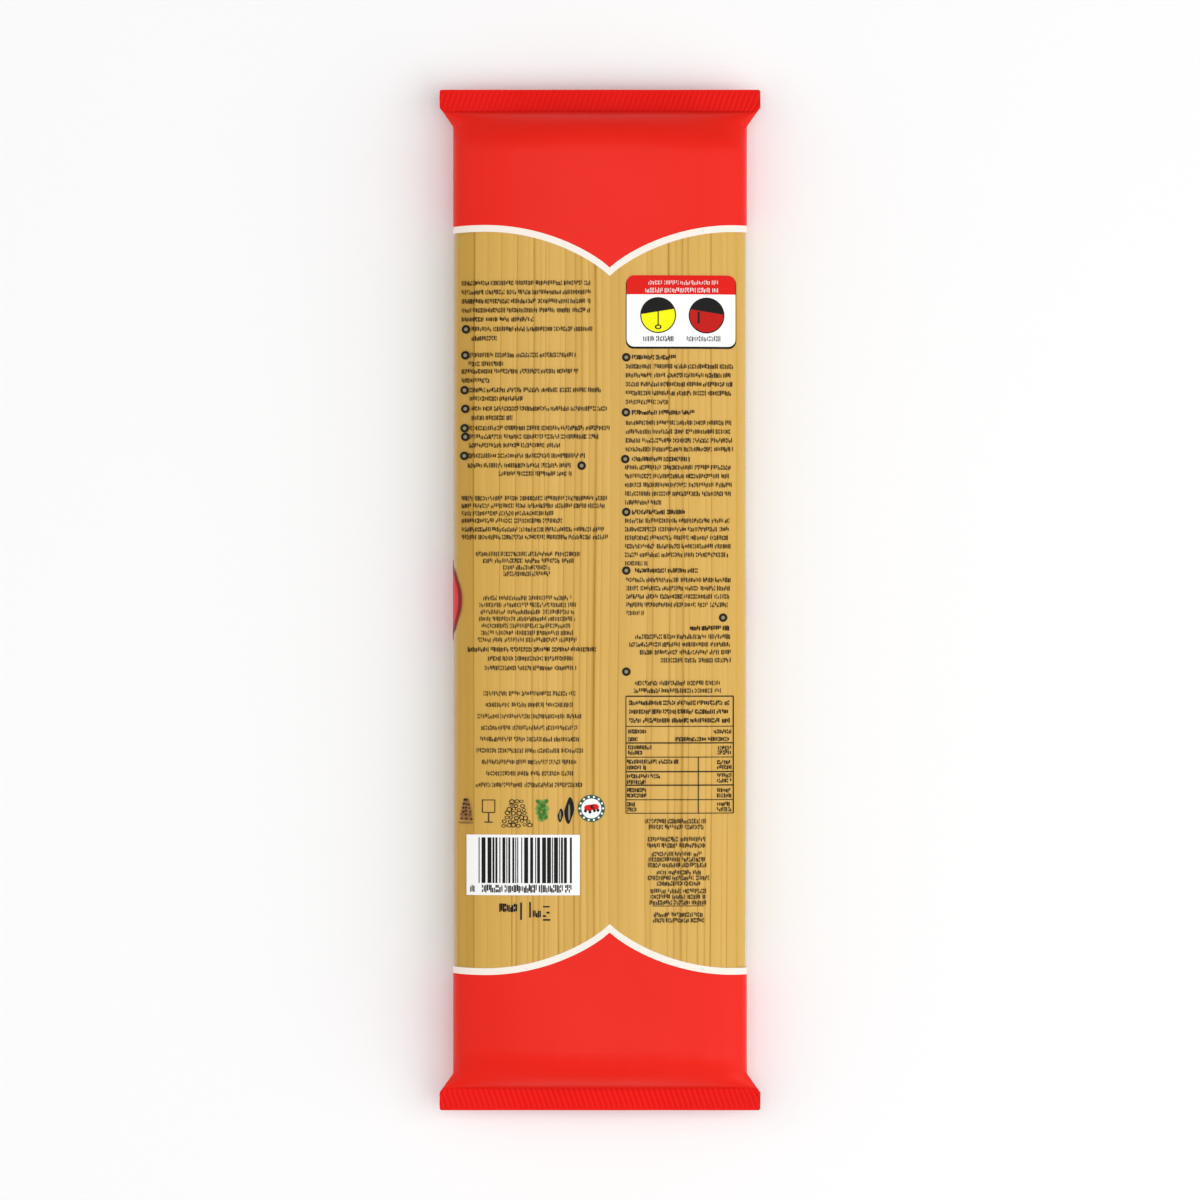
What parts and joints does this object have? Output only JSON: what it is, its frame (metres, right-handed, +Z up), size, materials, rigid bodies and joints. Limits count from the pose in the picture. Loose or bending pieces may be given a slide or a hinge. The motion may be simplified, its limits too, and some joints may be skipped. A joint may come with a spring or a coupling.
{
  "type": "pasta packet",
  "caption": "Sealed film packet of long dried pasta, with red scalloped ends, a clear window over the strands, a plain printed back and a crimped seal at each end.",
  "frame": {"origin": "on the surface that the packet lies on, under the middle of its box", "axes": "+Y along the packet towards its upper end seal, +X across it to the right as the printed back is read, +Z up, out of the printed back"},
  "size_m": [0.093, 0.296, 0.022],
  "materials": {
    "packet_film": "gloss",
    "red_print": "gloss",
    "cream_print": "gloss",
    "clear_film": "gloss",
    "dark_print": "satin",
    "white_print": "satin",
    "colour_print": "satin",
    "dried_pasta": "satin"
  },
  "bodies": {
    "root": {"packet": "packet_film"}
  },
  "joints": []
}
